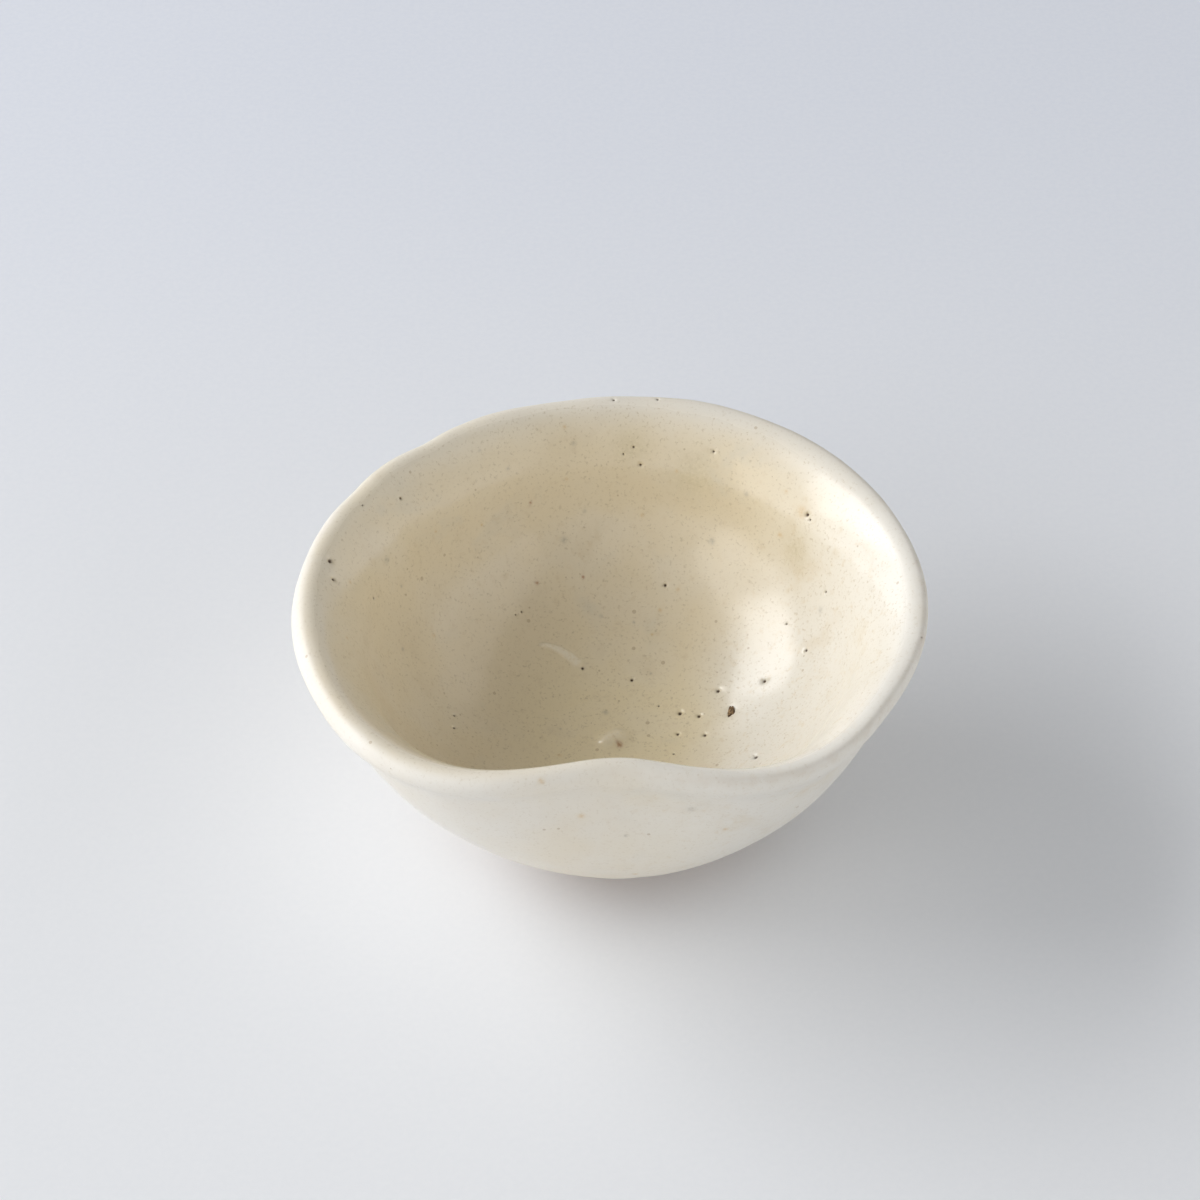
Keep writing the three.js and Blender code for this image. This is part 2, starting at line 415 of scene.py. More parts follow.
def shouldered(radius, height, angle):
    """The lip, with the square shoulder on the right and a top that slopes into the bowl there."""
    tiny = 1e-9
    side = facing(angle, *SHOULDER_SIDE)
    across = np.maximum(radius - LIP_MIDDLE, 0.0) / (LIP_THICKNESS / 2) + tiny
    rise = np.maximum(height - LIP_WIDEST, 0.0) / LIP_ROUND + tiny
    power = ROUND_POWER + (SHOULDER_POWER - ROUND_POWER) * side
    stretch = np.hypot(across, rise) / (across**power + rise**power) ** (1 / power)
    shoulder = (radius > LIP_MIDDLE) & (height > LIP_WIDEST)
    square_radius = np.where(shoulder, LIP_MIDDLE + (radius - LIP_MIDDLE) * stretch, radius)
    square_height = np.where(shoulder, LIP_WIDEST + (height - LIP_WIDEST) * stretch, height)
    slope = rising(radius - RIM_RADIUS, -LIP_THICKNESS, LIP_THICKNESS)
    near_top = fading(np.maximum(LIP_WIDEST - height, 0.0), SHOULDER_FADE)
    return square_radius, square_height + SHOULDER_RISE * side * slope * near_top


def skin(reach, angle):
    """A point of the glaze's smooth surface."""
    return shaped(*shouldered(*PROFILE.at(reach), angle), angle)


def skin_normal(reach, angle, reach_step=0.05, turn_step=0.1):
    """The direction out of the glaze."""
    along = skin(reach + reach_step, angle) - skin(np.maximum(reach - reach_step, 0.0), angle)
    around = skin(reach, angle + turn_step) - skin(reach, angle - turn_step)
    normal = np.cross(along, around)
    return normal / np.linalg.norm(normal, axis=-1, keepdims=True)


def wobble(points, height, shortest, longest, seed, waves=28):
    """A smooth random field over points, about as high as height, made of waves of these lengths."""
    draw = np.random.default_rng(seed)
    field = np.zeros(points.shape[:-1])
    for _ in range(waves):
        way = draw.normal(size=3)
        way /= np.linalg.norm(way)
        length = shortest * (longest / shortest) ** draw.random()
        field += np.sin(points @ way * (2 * np.pi / length) + draw.random() * 2 * np.pi)
    return height * (field / np.sqrt(waves / 2))


class Camera:
    """A long lens at the photograph's place, in millimetres round the cup's axis."""

    def __init__(self):
        rise = np.radians(CAMERA_RISE)
        self.back = np.array([0.0, -np.cos(rise), np.sin(rise)])
        self.right = np.array([1.0, 0.0, 0.0])
        self.up = np.array([0.0, np.sin(rise), np.cos(rise)])
        self.target = np.array([0.0, 0.0, AIM_HEIGHT])
        self.place = self.target + CAMERA_DISTANCE * self.back

    def pixel(self, points):
        """Where the frame shows points, right and down."""
        from_camera = points - self.place
        scale = PIXELS_PER_MM * CAMERA_DISTANCE / -(from_camera @ self.back)
        across, down = scale * (from_camera @ self.right), -scale * (from_camera @ self.up)
        return np.stack([AIM_PIXEL[0] + across, AIM_PIXEL[1] + down], -1)

    def aim(self):
        """The point in the middle of the frame, as far off as the target."""
        half = FRAME_PIXELS / 2
        across, rise = (half - AIM_PIXEL[0]) / PIXELS_PER_MM, (AIM_PIXEL[1] - half) / PIXELS_PER_MM
        return self.target + across * self.right + rise * self.up

    def first_seen(self, pixel):
        """About the reach and angle of the glaze nearest to the camera round a pixel."""
        reaches = np.arange(LOOK_START, PROFILE.glaze_reach, LOOK_REACH_STEP)
        angles = np.arange(0.0, 360.0, LOOK_TURN_STEP)
        reach, angle = np.meshgrid(reaches, angles, indexing="ij")
        places = skin(reach, angle)
        away = np.linalg.norm(self.pixel(places) - pixel, axis=-1)
        depth = np.linalg.norm(places - self.place, axis=-1)
        best = np.argmin(np.where(away < LOOK_PIXELS, depth + LOOK_PIXEL_DEPTH * away, np.inf))
        return np.array([reach.flat[best], angle.flat[best]])

    def seen(self, pixel, tries=8, nudge=0.01, longest_step=0.8):
        """The reach and angle of the glaze that the camera sees at a pixel."""
        found = self.first_seen(pixel)
        for _ in range(tries):
            here = self.pixel(skin(*found))
            by_reach = (self.pixel(skin(found[0] + nudge, found[1])) - here) / nudge
            by_angle = (self.pixel(skin(found[0], found[1] + nudge)) - here) / nudge
            step = np.linalg.lstsq(np.stack([by_reach, by_angle], -1), pixel - here, rcond=1e-3)[0]
            found = found + np.clip(step, -longest_step, longest_step)
            found[0] = np.abs(found[0])
        return found


CAMERA = Camera()


@functools.cache
def mark(pixel):
    """The point of the skin that the camera sees at a pixel."""
    return skin(*CAMERA.seen(pixel))


def spot_distance(places, pixel):
    """How far each place on the skin is from the one seen at a pixel."""
    return np.linalg.norm(places - mark(pixel), axis=-1)


def line_distance(places, pixels):
    """How far each place is from a line through these pixels' marks, and the share of it passed there."""
    marks = np.array([mark(pixel) for pixel in pixels])
    best = np.full(places.shape[:-1], np.inf)
    passed = np.zeros(places.shape[:-1])
    for i in range(len(marks) - 1):
        side = marks[i + 1] - marks[i]
        share = np.clip((places - marks[i]) @ side / (side @ side), 0.0, 1.0)
        gap = np.linalg.norm(places - marks[i] - share[..., None] * side, axis=-1)
        passed = np.where(gap < best, (i + share) / (len(marks) - 1), passed)
        best = np.minimum(best, gap)
    return best, passed


def glaze_detail(places, reach):
    """Height of the small forms over the skin, and how strongly iron and each stain show there."""
    angle = np.degrees(np.arctan2(places[..., 1], places[..., 0]))
    crest = fading(reach - PROFILE.crest_reach, CREST_WIDTH)
    neck = fading(reach - PROFILE.neck_reach, NECK_WIDTH)
    pinch = fading(turn_from(angle, PINCH_AT), PINCH_SMOOTHED)
    height = wobble(places, *BODY_WAVES)
    height += crest * wobble(places, *LIP_WAVES)
    height += wobble(places, *PEEL_WAVES)
    height -= NECK_DEPTH * neck * (1.0 - pinch)
    shows = {name: np.zeros(reach.shape) for name in (IRON, OCHRE, GREY, RED, OLIVE, WHITE)}
    for x, y, width in PINHOLES:
        gap = spot_distance(places, (x, y)) / (width / 2)
        pit = PIT_DEPTH * fading(gap, PIT_REACH, power=4)
        height -= width * (pit + DISH_DEPTH * fading(gap, DISH_REACH))
        shows[IRON] = np.maximum(shows[IRON], fading(gap, IRON_REACH, power=6))
    gap = spot_distance(places, GRAIN_PIXEL) / (GRAIN_WIDTH / 2)
    height -= GRAIN_DISH_DEPTH * fading(gap, GRAIN_DISH_REACH)
    hairline = fading(line_distance(places, HAIRLINE)[0], HAIRLINE_WIDTH)
    shows[IRON] = np.maximum(shows[IRON], HAIRLINE_STRENGTH * hairline)
    gap, passed = line_distance(places, TOOL_ARC)
    to_end = 1.0 - np.abs(2 * passed - 1.0)
    fan = ARC_WIDTH / 2 * (ARC_START + ARC_GAIN * passed)
    smear = smooth(to_end / ARC_TAPER) * fading(gap, fan, power=4)
    height += ARC_RISE * smear
    lump = fading(line_distance(places, LUMP)[0], LUMP_WIDTH / 2)
    height += LUMP_RISE * lump
    # The lump's whiteness is pale glaze and partly a painted highlight
    shows[WHITE] = np.maximum(smear, LUMP_WHITE_AND_GLINT * lump)
    for colour, spots in STAINS.items():
        for x, y, width in spots:
            spot = fading(spot_distance(places, (x, y)), width / 2)
            shows[colour] = np.maximum(shows[colour], spot)
    return np.maximum(height, -DEEPEST), shows


def fine_cells(row_reach, columns):
    """The cells of the glaze's grid that hold a small form."""
    middles = (row_reach[:-1] + row_reach[1:]) / 2
    angles = (np.arange(columns) + 0.5) * 360.0 / columns
    places = skin(middles[:, None], angles[None, :])
    chosen = np.zeros(places.shape[:2], bool)
    for x, y, width in PINHOLES + [(*GRAIN_PIXEL, GRAIN_WIDTH)]:
        chosen |= spot_distance(places, (x, y)) < PIT_SHARE * width + PIT_MARGIN
    for spots in STAINS.values():
        for x, y, width in spots:
            if width < WIDE_STAIN:
                chosen |= spot_distance(places, (x, y)) < STAIN_SHARE * width + STAIN_MARGIN
    chosen |= line_distance(places, TOOL_ARC)[0] < ARC_MARGIN
    chosen |= line_distance(places, HAIRLINE)[0] < HAIRLINE_MARGIN
    chosen[0] = False
    return chosen


def grid_faces(chosen):
    """Corners and faces of a grid that closes round its columns.

    A corner is a whole number of fine steps down and round. Each chosen cell is split into FINE by FINE,
    and its plain neighbours take in the extra corners.
    """
    rows, columns = chosen.shape
    around = columns * FINE
    faces = []

    def corner(down, turn):
        return down * around + turn % around

    def steps(fine):
        return range(0, FINE, 1 if fine else FINE)

    for i in range(rows):
        for j in range(columns):
            top, left = i * FINE, j * FINE
            bottom, right = top + FINE, left + FINE
            if chosen[i, j]:
                for a in range(top, bottom):
                    for b in range(left, right):
                        around_cell = ((a, b), (a + 1, b), (a + 1, b + 1), (a, b + 1))
                        faces.append(tuple(corner(*place) for place in around_cell))
                continue
            fine_left = chosen[i, j - 1]
            fine_below = i + 1 < rows and chosen[i + 1, j]
            fine_right = chosen[i, (j + 1) % columns]
            fine_above = i > 0 and chosen[i - 1, j]
            ring = [corner(top + a, left) for a in steps(fine_left)]
            ring += [corner(bottom, left + b) for b in steps(fine_below)]
            ring += [corner(bottom - a, right) for a in steps(fine_right)]
            ring += [corner(top, right - b) for b in steps(fine_above)]
            faces.append(tuple(ring))
    used = np.unique(np.concatenate([np.array(face) for face in faces]))
    return used // around, used % around, [np.searchsorted(used, face) for face in faces]


def turned_faces(rows, columns, closed):
    """Quads of a turned grid of rows by columns, round the axis and, if closed, round the profile."""
    faces = []
    for i in range(rows if closed else rows - 1):
        for j in range(columns):
            k = (j + 1) % columns
            below, above = i * columns, (i + 1) % rows * columns
            faces.append((below + j, below + k, above + k, above + j))
    return faces


def cap_faces(ring, pole):
    """Triangles from a ring of corners to the corner in its middle."""
    return [(ring[j], ring[(j + 1) % len(ring)], pole) for j in range(len(ring))]


def capped_faces(rows, columns):
    """Faces of a turned grid that is closed by two poles, kept after it with the first row's first."""
    first_row, total = np.arange(columns), rows * columns
    last_row = total - columns + first_row
    caps = cap_faces(first_row[::-1], total) + cap_faces(last_row, total + 1)
    return turned_faces(rows, columns, closed=False) + caps


def new_piece(name, points, faces, material, nodes=()):
    """A smooth mesh in the frame from points in millimetres round the cup's axis."""
    mesh = bpy.data.meshes.new(name)
    mesh.from_pydata((points * MM + AXIS).tolist(), [], [[int(c) for c in face] for face in faces])
    mesh.validate()
    mesh.polygons.foreach_set("use_smooth", np.ones(len(mesh.polygons), bool))
    mesh.materials.append(material)
    piece = bpy.data.objects.new(name, mesh)
    bpy.context.scene.collection.objects.link(piece)
    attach(piece, "root")
    if nodes:
        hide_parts(*nodes)
    return piece


def set_attribute(piece, name, values):
    """Keeps a number for each corner point of a piece, for its material to read."""
    layer = piece.data.attributes.new(name, "FLOAT", "POINT")
    layer.data.foreach_set("value", np.asarray(values, np.float32))


def node(tree, kind, settings=None, inputs=None):
    """Adds a shader node. An input that is a socket is linked, and any other value is set."""
    made = tree.nodes.new("ShaderNode" + kind)
    for name, value in (settings or {}).items():
        setattr(made, name, value)
    for name, value in (inputs or {}).items():
        if isinstance(value, bpy.types.NodeSocket):
            tree.links.new(value, made.inputs[name])
        else:
            made.inputs[name].default_value = value
    return made


def new_material(name):
    """A material, its node tree, its shader, and the place on the object for its patterns."""
    material = bpy.data.materials.new(name)
    material.use_nodes = True
    tree = material.node_tree
    return material, tree, tree.nodes["Principled BSDF"], node(tree, "TexCoord").outputs["Object"]


def attribute(tree, name):
    """A number kept by set_attribute."""
    return node(tree, "Attribute", {"attribute_name": name}).outputs["Fac"]


def calculate(tree, operation, first, second):
    """A math node's result."""
    return node(tree, "Math", {"operation": operation}, {0: first, 1: second}).outputs["Value"]


def times(tree, first, second):
    """One value times another."""
    return calculate(tree, "MULTIPLY", first, second)


def cloud(tree, place, size, detail=3.0, roughness=0.5, stretch=0.0):
    """Noise from 0 to 1 whose blots are about size millimetres across."""
    inputs = {"Vector": place, "Scale": 1.0 / (size * MM)}
    inputs |= {"Detail": detail, "Roughness": roughness, "Distortion": stretch}
    return node(tree, "TexNoise", inputs=inputs).outputs["Fac"]


def between(tree, value, low, high, to_low=0.0, to_high=1.0):
    """A value brought from low..high to to_low..to_high, eased at both ends."""
    inputs = {"Value": value, "From Min": low, "From Max": high, "To Min": to_low, "To Max": to_high}
    return node(tree, "MapRange", {"interpolation_type": "SMOOTHSTEP"}, inputs).outputs["Result"]


def specks(tree, place, spacing, width, share):
    """1 inside small round dots, in this share of cells that are about spacing millimetres wide."""
    cells = node(tree, "TexVoronoi", inputs={"Vector": place, "Scale": 1.0 / (spacing * MM)})
    pick = node(tree, "SeparateColor", inputs={"Color": cells.outputs["Color"]})
    chosen = calculate(tree, "LESS_THAN", pick.outputs["Red"], share)
    radius = times(tree, pick.outputs["Green"], width / spacing)
    dot = calculate(tree, "LESS_THAN", cells.outputs["Distance"], radius)
    return times(tree, dot, chosen)


def blend(tree, share, first, second):
    """The colour first where share is 0, and second where it is 1."""
    made = node(tree, "Mix", {"data_type": "RGBA"}, {0: share, 6: first, 7: second})
    return made.outputs[2]


def add_bump(tree, shader, height, strength, depth):
    """Roughens a surface by a height from 0 to 1 that stands for a depth in millimetres."""
    bump = node(tree, "Bump", inputs={"Strength": strength, "Distance": depth * MM, "Height": height})
    tree.links.new(bump.outputs["Normal"], shader.inputs["Normal"])


def clouded_glaze(tree, place):
    """The glaze's ground: pooled on the floor, deepened there by painted shade; painted paler by light on
    the right; whiter outside; painted whiter by light on the lip's top and the front-left outside.
    """
    cream = (0.77, 0.66, 0.465, 1.0)
    pale = (0.825, 0.785, 0.70, 1.0)
    pooled_and_shade_tinted = (0.84, 0.725, 0.49, 1.0)
    warm = (0.67, 0.545, 0.355, 1.0)
    grey = (0.62, 0.58, 0.48, 1.0)
    white = (0.82, 0.79, 0.735, 1.0)
    lip_painted_light_white = (0.84, 0.81, 0.75, 1.0)
    lit_front_left_white = (0.83, 0.815, 0.785, 1.0)
    # Painted light: the window-lit right wall is painted in the paler colour
    colour = blend(tree, attribute(tree, "pale"), cream, pale)
    # Pooled glaze on the floor, partly painted shade: the deeper, yellower colour of shade and bounced light
    colour = blend(tree, attribute(tree, "pooled_and_shade_tinted"), colour, pooled_and_shade_tinted)
    # Noise, the values where a cloud begins and is full, the share of its tint that shows, and the tint
    clouds = [
        (cloud(tree, place, 14.0, 4.0), 0.42, 0.68, 0.25, pale),
        (cloud(tree, place, 7.0, 5.0, 0.6), 0.52, 0.8, 0.5, warm),
        (cloud(tree, place, 10.0, 4.0, 0.55, 0.4), 0.56, 0.82, 0.5, grey),
        (cloud(tree, place, 1.1, 3.0, 0.6), 0.54, 0.78, 0.42, warm),
    ]
    for blots, clear, full, strength, tint in clouds:
        colour = blend(tree, between(tree, blots, clear, full, 0.0, strength), colour, tint)
    whiteness = between(tree, cloud(tree, place, 8.0, 4.0), 0.3, 0.7, 0.12, 0.46)
    colour = blend(tree, attribute(tree, "outer"), colour, blend(tree, whiteness, colour, white))
    # Painted light: the lip's top is painted whiter, less on the window-lit left
    colour = blend(tree, times(tree, attribute(tree, "crest"), 0.6), colour, lip_painted_light_white)
    # Painted light: the window-lit front-left outside is painted whiter
    return blend(tree, times(tree, attribute(tree, "lit_front_left"), 0.62), colour, lit_front_left_white)


def marked_glaze(tree, place, colour):
    """The glaze's ground with its dots and flecks, stains, iron, and the worn line along the lip, which is
    partly painted shade.
    """
    dot_brown = (0.38, 0.26, 0.13, 1.0)
    fleck_brown = (0.47, 0.37, 0.22, 1.0)
    iron_black = (0.075, 0.04, 0.018, 1.0)
    worn_and_shade_brown = (0.52, 0.38, 0.24, 1.0)
    dots = times(tree, specks(tree, place, 2.2, 0.28, 0.5), 0.42)
    colour = blend(tree, dots, colour, dot_brown)
    flecks = between(tree, cloud(tree, place, 0.4, 4.0, 0.65), 0.54, 0.72, 0.0, 0.5)
    fewer_outside = between(tree, attribute(tree, "outer"), 0.0, 1.0, 1.0, 0.45)
    colour = blend(tree, times(tree, flecks, fewer_outside), colour, fleck_brown)
    ragged = between(tree, cloud(tree, place, 0.35, 3.0, 0.6), 0.3, 0.6, 0.35, 1.0)
    for name, (strength, stain) in STAIN_COLOURS.items():
        share = times(tree, attribute(tree, name), strength)
        colour = blend(tree, times(tree, share, ragged), colour, stain)
    colour = blend(tree, attribute(tree, IRON), colour, iron_black)
    # Brown line past the crest on the right: worn, thin glaze, and partly painted shade of the lip's outer
    # side
    worn = between(tree, cloud(tree, place, 2.6, 4.0, 0.6), 0.35, 0.7, 0.04, 0.3)
    return blend(tree, times(tree, attribute(tree, "thin_and_shaded"), worn), colour, worn_and_shade_brown)


def glaze_material():
    """Satin cream glaze, duller outside and where iron shows."""
    material, tree, shader, place = new_material("cream_glaze")
    colour = marked_glaze(tree, place, clouded_glaze(tree, place))
    tree.links.new(colour, shader.inputs["Base Color"])
    satin = between(tree, cloud(tree, place, 6.0, 2.0), 0.3, 0.7, 0.16, 0.2)
    dull_outside = times(tree, attribute(tree, "outer"), 0.25)
    dull_iron = times(tree, attribute(tree, IRON), 0.5)
    dull = calculate(tree, "ADD", dull_outside, dull_iron)
    tree.links.new(calculate(tree, "ADD", satin, dull), shader.inputs["Roughness"])
    add_bump(tree, shader, cloud(tree, place, 0.8, 4.0, 0.6), strength=0.3, depth=0.06)
    shader.inputs["IOR"].default_value = 1.52
    return material


def clay_material(name, base, toasted):
    """Bare fired stoneware with grog, iron specks and toasted patches."""
    material, tree, shader, place = new_material(name)
    grog = (0.62, 0.47, 0.32, 1.0)
    iron = (0.06, 0.035, 0.02, 1.0)
    patches = between(tree, cloud(tree, place, 8.0, 5.0, 0.6), 0.4, 0.7)
    colour = blend(tree, patches, base, toasted)
    grains = between(tree, cloud(tree, place, 0.5, 4.0, 0.7), 0.5, 0.75, 0.0, 0.5)
    colour = blend(tree, grains, colour, grog)
    dots = times(tree, specks(tree, place, 1.1, 0.24, 0.5), 0.7)
    tree.links.new(blend(tree, dots, colour, iron), shader.inputs["Base Color"])
    rough = between(tree, cloud(tree, place, 1.5, 4.0), 0.3, 0.7, 0.72, 0.95)
    tree.links.new(rough, shader.inputs["Roughness"])
    add_bump(tree, shader, cloud(tree, place, 0.35, 5.0, 0.7), strength=0.5, depth=0.12)
    return material


def iron_material():
    """Crumbly brown iron grain."""
    material, tree, shader, place = new_material("iron_grain")
    black = (0.06, 0.03, 0.012, 1.0)
    brown = (0.44, 0.29, 0.15, 1.0)
    spots = between(tree, cloud(tree, place, 0.22, 4.0, 0.7), 0.42, 0.62)
    tree.links.new(blend(tree, spots, black, brown), shader.inputs["Base Color"])
    add_bump(tree, shader, cloud(tree, place, 0.2, 4.0, 0.7), strength=0.6, depth=0.08)
    shader.inputs["Roughness"].default_value = 0.8
    return material


def glaze_edge(reach, angle):
    """Where a row of the glaze lies, with the lower edge wandering, and how thick the coat is there."""
    wander = sum(height * np.sin(np.radians(count * angle + start)) for height, count, start in EDGE_WAVES)
    near = rising(reach - PROFILE.glaze_reach, -EDGE_FADE, EDGE_FADE)
    to_edge = PROFILE.glaze_reach - reach
    bead = 1.0 + BEAD_SWELL * fading(to_edge - BEAD_AT, BEAD_WIDTH)
    rounding = np.sqrt(1.0 - np.clip(1.0 - to_edge / EDGE_ROUND, 0.0, 1.0) ** 2)
    return reach + near * wander, GLAZE * bead * rounding


def glaze_regions(reach, angle):
    """How far each place belongs to each region of the glaze's colours, some of which paint light and shade.
    """
    past_crest = reach - PROFILE.crest_reach
    on_left = smooth(-np.cos(np.radians(angle)))
    return {
        "outer": rising(reach - PROFILE.lip_reach, OUTER_START, OUTER_RAMP),
        # painted light: the lip's top whiter, less on the window-lit left
        "crest": fading(past_crest, CREST_WIDTH) * (1.0 - LIT_LEFT_CREST_LOSS * on_left),
        # worn line, partly painted shade of the right lip's outer side
        "thin_and_shaded": fading(past_crest - THIN_AT, THIN_WIDTH) * facing(angle, *THIN_AND_SHADED_SIDE),
        # painted light: paler on the window-lit right wall
        "pale": facing(angle, *LIT_PALE_SIDE) * rising(reach, PALE_START, PALE_RAMP),
        # pooled glaze, partly painted shade on the floor
        "pooled_and_shade_tinted": smooth((POOL_EDGE - reach) / POOL_RAMP),
        # painted light: whiter on the window-lit front-left outside
        "lit_front_left": rising(past_crest, 0.0, LIT_FRONT_LEFT_RAMP) * facing(angle, *LIT_FRONT_LEFT_SIDE),
    }


def glaze_underside():
    """Rings of points where the coat lies on the clay, from the glaze line to the middle of the floor."""
    reach = np.linspace(PROFILE.glaze_reach, ROW_STEP, UNDER_ROWS)[1:, None]
    moved, _ = glaze_edge(reach, full_turn(COLUMNS)[None, :])
    angle = np.broadcast_to(full_turn(COLUMNS), moved.shape)
    return skin(moved, angle) - GLAZE * skin_normal(moved, angle)


def make_glaze():
    """One coat over the inside, the lip and the outside, closed on the side that lies on the clay."""
    rows = int(round(PROFILE.glaze_reach / ROW_STEP))
    row_reach = np.linspace(ROW_STEP / 2, PROFILE.glaze_reach, rows + 1)
    down, turn, faces = grid_faces(fine_cells(row_reach, COLUMNS))
    reach = np.interp(down / FINE, np.arange(rows + 1), row_reach)
    angle = turn * 360.0 / (COLUMNS * FINE)
    moved, thickness = glaze_edge(reach, angle)
    places = skin(moved, angle)
    height, shows = glaze_detail(places, reach)
    edge = np.clip(thickness / GLAZE, 0.0, 1.0)
    over = places + skin_normal(moved, angle) * (thickness - GLAZE + height * edge)[:, None]

    under = glaze_underside()
    middle = skin(np.float64(0.0), np.float64(0.0))
    middle_height, _ = glaze_detail(middle[None], np.zeros(1))
    poles = np.stack([middle + [0, 0, middle_height[0]], middle - [0, 0, GLAZE]])
    points = np.concatenate([over, under.reshape(-1, 3), poles])

    first_ring = np.flatnonzero(down == 0)
    last_ring = np.flatnonzero(down == rows * FINE)
    under_rings = [len(over) + i * COLUMNS + np.arange(COLUMNS) for i in range(len(under))]
    for upper, lower in zip([last_ring] + under_rings[:-1], under_rings):
        for j in range(COLUMNS):
            k = (j + 1) % COLUMNS
            faces.append((upper[j], lower[j], lower[k], upper[k]))
    faces += cap_faces(first_ring, len(points) - 2)
    faces += cap_faces(under_rings[-1][::-1], len(points) - 1)

    material = glaze_material()
    piece = new_piece("glaze_coat", points, faces, material, ("inner_glaze", "outer_glaze"))
    unseen = np.zeros(len(points) - len(over))
    for name, values in (shows | glaze_regions(reach, angle)).items():
        set_attribute(piece, name, np.concatenate([values, unseen]))


def clay_land(angle):
    """Rings of points under the bowl: the recess with its nub and turning marks, and the land round it."""
    radius = np.linspace(LAND_START, FOOT_RADIUS - LAND_MARGIN, LAND_ROWS)[:, None]
    spiral = SPIRAL_HEIGHT * np.sin(2 * np.pi * radius / SPIRAL_PITCH + np.radians(angle))
    nub = -NUB_DROP * fading(radius, NUB_WIDTH)
    recessed = smooth((FOOT_RADIUS - FOOT_WALL - radius) / RECESS_EDGE)
    height = FOOT_HEIGHT + recessed * (RECESS_DEPTH + spiral + nub)
    return around_axis(np.broadcast_to(radius, height.shape), np.radians(angle), height)


def clay_wall(angle):
    """Rings of points from the foot over the lip to the floor: bare and turned, then under the glaze."""
    bare_end = PROFILE.glaze_reach - BARE_OVERLAP
    bare = np.linspace(PROFILE.end_reach, bare_end, BARE_ROWS)
    hidden = np.linspace(bare_end, ROW_STEP, HIDDEN_ROWS)[1:]
    reach = np.concatenate([bare, hidden])[:, None]
    angles = np.broadcast_to(angle, (len(reach), CLAY_COLUMNS))
    places = skin(reach, angles)
    grooves = GROOVE_HEIGHT * np.sin(2 * np.pi * reach / GROOVE_PITCH + np.radians(angles))
    rough = (grooves + wobble(places, *CLAY_WAVES)) * smooth((PROFILE.end_reach - reach) / GROOVE_FADE)
    shown = rising(reach - PROFILE.glaze_reach, -BARE_RAMP, BARE_RAMP)
    normal = skin_normal(reach, angles)
    normal[0] = (0.0, 0.0, -1.0)
    return places + normal * (-GLAZE - CLAY_GAP + shown * (CLAY_GAP + rough))[..., None]


def make_clay():
    """The stoneware bowl: recess and land under it, bare up to the glaze line, hidden above."""
    angle = full_turn(CLAY_COLUMNS)
    grid = np.concatenate([clay_land(angle), clay_wall(angle)])
    nub_end = [0, 0, FOOT_HEIGHT + RECESS_DEPTH - NUB_DROP]
    floor_middle = [0, 0, FOOT_HEIGHT + FLOOR - GLAZE - CLAY_GAP]
    points = np.concatenate([grid.reshape(-1, 3), [nub_end, floor_middle]])
    faces = capped_faces(len(grid), CLAY_COLUMNS)
    material = clay_material("stoneware", (0.48, 0.375, 0.27, 1.0), (0.39, 0.27, 0.175, 1.0))
    new_piece("stoneware_bowl", points, faces, material, ("clay_bowl",))


def round_corner(before, corner, after, size, steps=6):
    """Points of a rounded corner of an outline."""
    start = corner + (before - corner) / np.linalg.norm(before - corner) * size
    end = corner + (after - corner) / np.linalg.norm(after - corner) * size
    share = np.linspace(0.0, 1.0, steps)[:, None]
    return (1 - share) ** 2 * start + 2 * share * (1 - share) * corner + share**2 * end


def foot_outline():
    """Radius and height of even steps round the foot ring's section, with rounded corners."""
    inner, outer = FOOT_RADIUS - FOOT_WALL, FOOT_RADIUS
    corners = np.array([
        (inner, FOOT_HEIGHT), (inner - FOOT_DRAFT, 0.0), (outer - FOOT_DRAFT, 0.0), (outer, FOOT_HEIGHT),
    ])
    sizes = (FOOT_SEAM_ROUND, FOOT_BEVEL, FOOT_BEVEL, FOOT_SEAM_ROUND)
    before, after = np.roll(corners, 1, axis=0), np.roll(corners, -1, axis=0)
    rounded = np.concatenate([round_corner(*corner) for corner in zip(before, corners, after, sizes)])
    closed = np.concatenate([rounded, rounded[:1]])
    along = lengths_along(closed)
    steps = np.linspace(0.0, along[-1], FOOT_ROWS, endpoint=False)
    return np.interp(steps, along, closed[:, 0]), np.interp(steps, along, closed[:, 1])


def make_foot():
    """The foot ring, worn round where it stands and a little uneven."""
    outline_radius, outline_height = foot_outline()
    turn = np.radians(full_turn(CLAY_COLUMNS))
    radius = np.broadcast_to(outline_radius[:, None], (FOOT_ROWS, CLAY_COLUMNS))
    height = np.broadcast_to(outline_height[:, None], radius.shape)
    points = around_axis(radius, turn, height)
    free = smooth((FOOT_HEIGHT - height) / FOOT_UNEVEN_FROM)
    uneven = wobble(points, *FOOT_WAVES) + wobble(points, *FOOT_GRIT)
    outwards = np.where(radius > FOOT_RADIUS - FOOT_WALL / 2, 1.0, -1.0) * smooth(height / FOOT_EVEN_UP_TO)
    points += around_axis(free * outwards * uneven, turn, np.zeros(radius.shape))
    faces = turned_faces(FOOT_ROWS, CLAY_COLUMNS, closed=True)
    material = clay_material("foot_clay", (0.45, 0.345, 0.245, 1.0), (0.36, 0.245, 0.155, 1.0))
    new_piece("worn_foot_ring", points.reshape(-1, 3), faces, material, ("foot_ring",))


